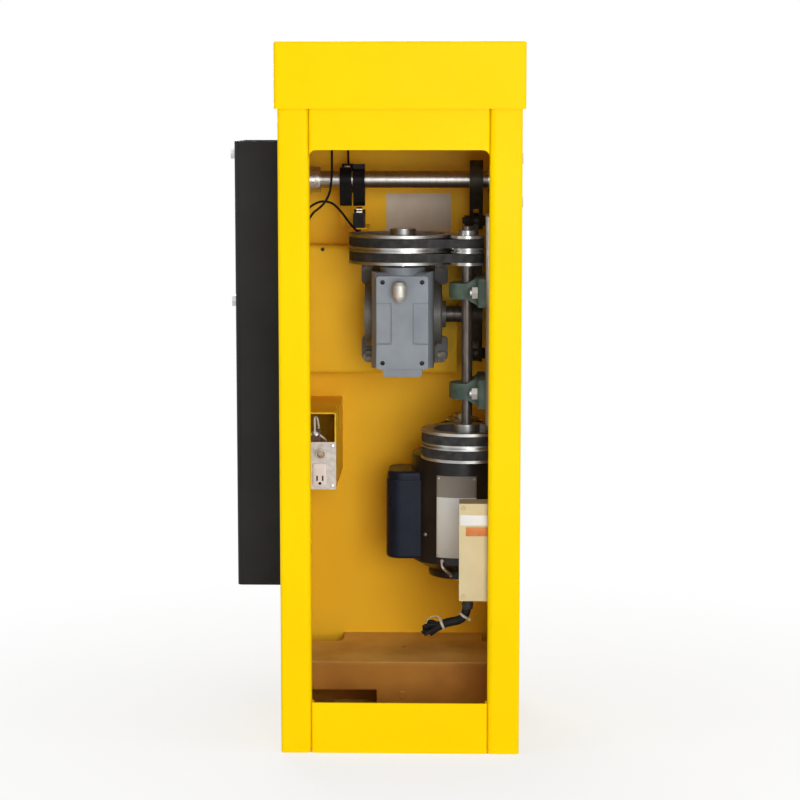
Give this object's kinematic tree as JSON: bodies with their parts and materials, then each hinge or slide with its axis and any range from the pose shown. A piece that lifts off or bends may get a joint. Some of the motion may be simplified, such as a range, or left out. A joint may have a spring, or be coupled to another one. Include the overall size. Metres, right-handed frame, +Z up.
{
  "type": "barrier gate operator",
  "caption": "Upright barrier gate operator: a folded sheet cabinet with lift-off cap, belt, worm and parallel-crank drive, and a channel arm holder on its side.",
  "frame": {"origin": "on the floor, at the middle of the cabinet's base and of its anchor bolts", "axes": "+Z up, +Y towards the open service side, +X towards the arm holder"},
  "size_m": [0.4343, 0.352, 1.02],
  "materials": {
    "yellow_paint": "gloss powder coat",
    "black_paint": "satin powder coat",
    "grey_paint": "satin enamel on a casting",
    "green_casting": "painted casting",
    "zinc": "zinc plated",
    "bright_steel": "ground",
    "dark_steel": "blackened",
    "pulley_alloy": "turned",
    "belt_rubber": "matte",
    "motor_black": "gloss enamel",
    "capacitor_blue": "gloss enamel",
    "cream_plastic": "satin",
    "galvanised": "galvanised",
    "black_plastic": "satin",
    "lead_sheath": "satin",
    "bronze": "machined",
    "lock_chrome": "polished"
  },
  "bodies": {
    "cabinet": {"cabinet_wrap": "yellow_paint", "back_top_rail": "yellow_paint", "back_bottom_rail": "yellow_paint", "base_frame": "black_paint", "base_shelf": "yellow_paint", "lock_catch": "yellow_paint", "arm_bearing_near": "zinc", "arm_bearing_far": "zinc", "bearing_bolts": "zinc", "limit_switch_bracket": "yellow_paint", "open_limit_switch": "black_plastic", "close_limit_switch": "black_plastic", "reducer_housing": "grey_paint", "reducer_end_cover": "grey_paint", "breather_plug": "zinc", "reducer_bracket": "yellow_paint", "drive_belts": "belt_rubber", "upper_pillow_block": "green_casting", "lower_pillow_block": "green_casting", "countershaft_bracket": "yellow_paint", "drive_bolts": "zinc", "motor_shell": "motor_black", "motor_end_bells": "motor_black", "motor_mount": "black_paint", "capacitor_cover": "capacitor_blue", "control_box": "cream_plastic", "control_box_cover": "cream_plastic", "harness_bundle": "lead_sheath", "junction_box": "yellow_paint", "switch_plate": "galvanised", "open_switch_lead": "lead_sheath", "close_switch_lead": "lead_sheath", "wire_bushings": "black_plastic"},
    "arm": {"arm_shaft": "bright_steel", "shaft_collars": "zinc", "arm_hub_plate": "black_paint", "arm_channel": "black_paint", "channel_bolts": "zinc", "drive_lever": "dark_steel", "lever_pin": "dark_steel", "open_limit_cam": "black_plastic", "close_limit_cam": "black_plastic"},
    "crank": {"output_shaft": "dark_steel", "worm_wheel": "bronze", "crank_arm": "dark_steel", "crank_pin": "dark_steel"},
    "rod": {"connecting_rod": "dark_steel"},
    "input": {"worm_shaft": "bright_steel", "reducer_pulley": "pulley_alloy"},
    "layshaft": {"countershaft": "dark_steel", "countershaft_small_pulley": "pulley_alloy", "countershaft_large_pulley": "pulley_alloy"},
    "rotor": {"motor_shaft": "bright_steel", "motor_pulley": "pulley_alloy"},
    "lid": {"cap": "yellow_paint", "cap_lock_ring": "lock_chrome"},
    "lock": {"cap_lock_plug": "lock_chrome"},
    "open_roller": {"open_switch_lever": "bright_steel"},
    "close_roller": {"close_switch_lever": "bright_steel"},
    "toggle": {"toggle_lever": "bright_steel"}
  },
  "joints": [
    {"name": "arm_swing", "type": "hinge", "parent": "cabinet", "child": "arm", "pos_m": [0, -0.072, 0.818], "axis": [-1, 0, 0], "range_deg": [0, 90]},
    {"name": "crank_turn", "type": "hinge", "parent": "cabinet", "child": "crank", "pos_m": [0, -0.052, 0.617], "axis": [-1, 0, 0], "range_deg": [0, 90]},
    {"name": "rod_turn", "type": "hinge", "parent": "crank", "child": "rod", "pos_m": [-0.1105, -0.09674, 0.55311], "axis": [-1, 0, 0], "range_deg": [-90, 0]},
    {"name": "input_spin", "type": "hinge", "parent": "cabinet", "child": "input", "pos_m": [0, 0, 0.7], "axis": [0, 0, 1], "range_deg": [0, 1800]},
    {"name": "layshaft_spin", "type": "hinge", "parent": "cabinet", "child": "layshaft", "pos_m": [-0.095, 0.055, 0.6], "axis": [0, 0, 1], "range_deg": [0, 5760]},
    {"name": "motor_spin", "type": "hinge", "parent": "cabinet", "child": "rotor", "pos_m": [-0.089, -0.06, 0.4], "axis": [0, 0, 1], "range_deg": [0, 15440]},
    {"name": "cap_lift", "type": "slide", "parent": "cabinet", "child": "lid", "axis": [0, 0, 1], "range_m": [0, 0.15]},
    {"name": "cap_lock_turn", "type": "hinge", "parent": "lid", "child": "lock", "pos_m": [0.0895, 0, 1], "axis": [0, 0, 1], "range_deg": [0, 90]},
    {"name": "open_switch_press", "type": "hinge", "parent": "cabinet", "child": "open_roller", "pos_m": [0.06775, -0.09, 0.7691], "axis": [-1, 0, 0], "range_deg": [0, 3], "stiffness_Nm_per_rad": 0.1},
    {"name": "close_switch_press", "type": "hinge", "parent": "cabinet", "child": "close_roller", "pos_m": [0.08775, -0.1209, 0.836], "axis": [-1, 0, 0], "range_deg": [0, 3], "stiffness_Nm_per_rad": 0.1},
    {"name": "toggle_flip", "type": "hinge", "parent": "cabinet", "child": "toggle", "pos_m": [0.1205, 0.034, 0.415], "axis": [-1, 0, 0], "range_deg": [0, 30]}
  ],
  "couplings": [
    {"joint": "crank_turn", "follows": "arm_swing", "ratio": 1},
    {"joint": "rod_turn", "follows": "arm_swing", "ratio": -1},
    {"joint": "input_spin", "follows": "arm_swing", "ratio": 20},
    {"joint": "layshaft_spin", "follows": "arm_swing", "ratio": 64},
    {"joint": "motor_spin", "follows": "arm_swing", "ratio": 171.52}
  ]
}
